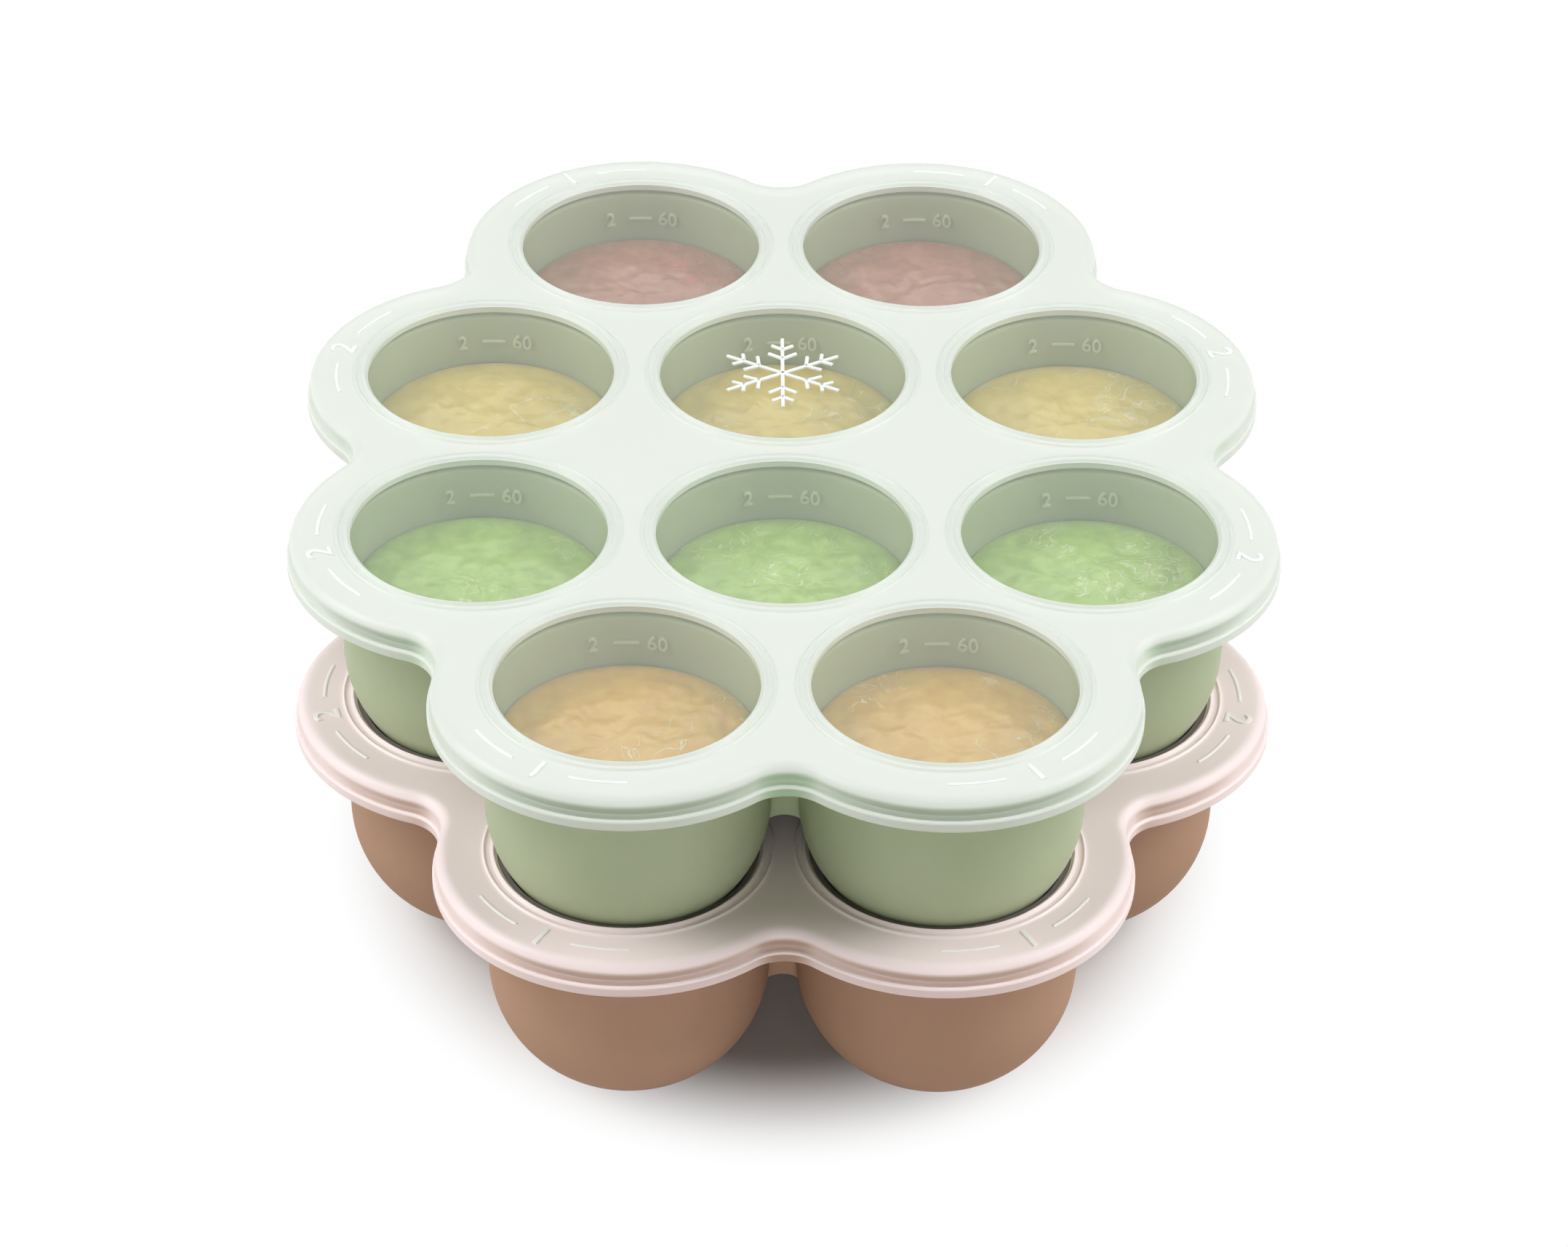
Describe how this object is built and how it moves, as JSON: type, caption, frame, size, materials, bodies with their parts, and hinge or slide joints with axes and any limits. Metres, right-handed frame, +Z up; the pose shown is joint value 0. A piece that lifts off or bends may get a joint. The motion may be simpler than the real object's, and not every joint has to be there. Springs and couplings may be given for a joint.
{
  "type": "baby food freezer tray",
  "caption": "Two stacked petal-shaped silicone freezer trays with round-bottomed cups of baby food, each closed by a translucent press-on lid with clear windows.",
  "frame": {"origin": "middle of the stack's footprint, on the surface that the lower tray's feet stand on", "axes": "+X to the right along the rows of cups, +Y from the front row to the back row, +Z up"},
  "size_m": [0.1924, 0.2338, 0.0894],
  "materials": {
    "terracotta_silicone": "matte",
    "sage_silicone": "matte",
    "milky_pink_silicone": "satin",
    "milky_mint_silicone": "satin",
    "clear_pink_silicone": "satin",
    "clear_mint_silicone": "satin",
    "orange_puree": "satin",
    "green_puree": "satin",
    "yellow_puree": "satin",
    "red_puree": "satin"
  },
  "bodies": {
    "lower_tray": {"lower_deck": "terracotta_silicone", "lower_cups": "terracotta_silicone", "lower_portion_1": "orange_puree", "lower_portion_2": "orange_puree", "lower_portion_3": "yellow_puree", "lower_portion_4": "yellow_puree", "lower_portion_5": "yellow_puree", "lower_portion_6": "yellow_puree", "lower_portion_7": "yellow_puree", "lower_portion_8": "yellow_puree", "lower_portion_9": "orange_puree", "lower_portion_10": "orange_puree"},
    "lower_lid": {"lower_lid": "milky_pink_silicone", "lower_windows": "clear_pink_silicone"},
    "upper_tray": {"upper_deck": "sage_silicone", "upper_cups": "sage_silicone", "upper_portion_1": "orange_puree", "upper_portion_2": "orange_puree", "upper_portion_3": "green_puree", "upper_portion_4": "green_puree", "upper_portion_5": "green_puree", "upper_portion_6": "yellow_puree", "upper_portion_7": "yellow_puree", "upper_portion_8": "yellow_puree", "upper_portion_9": "red_puree", "upper_portion_10": "red_puree"},
    "upper_lid": {"upper_lid": "milky_mint_silicone", "upper_windows": "clear_mint_silicone"}
  },
  "joints": [
    {"name": "lower_lid_lift", "type": "slide", "parent": "lower_tray", "child": "lower_lid", "axis": [0, 0, 1], "range_m": [0, 0.05]},
    {"name": "upper_tray_lift", "type": "slide", "parent": "lower_lid", "child": "upper_tray", "axis": [0, 0, 1], "range_m": [0, 0.05]},
    {"name": "upper_lid_lift", "type": "slide", "parent": "upper_tray", "child": "upper_lid", "axis": [0, 0, 1], "range_m": [0, 0.05]}
  ]
}
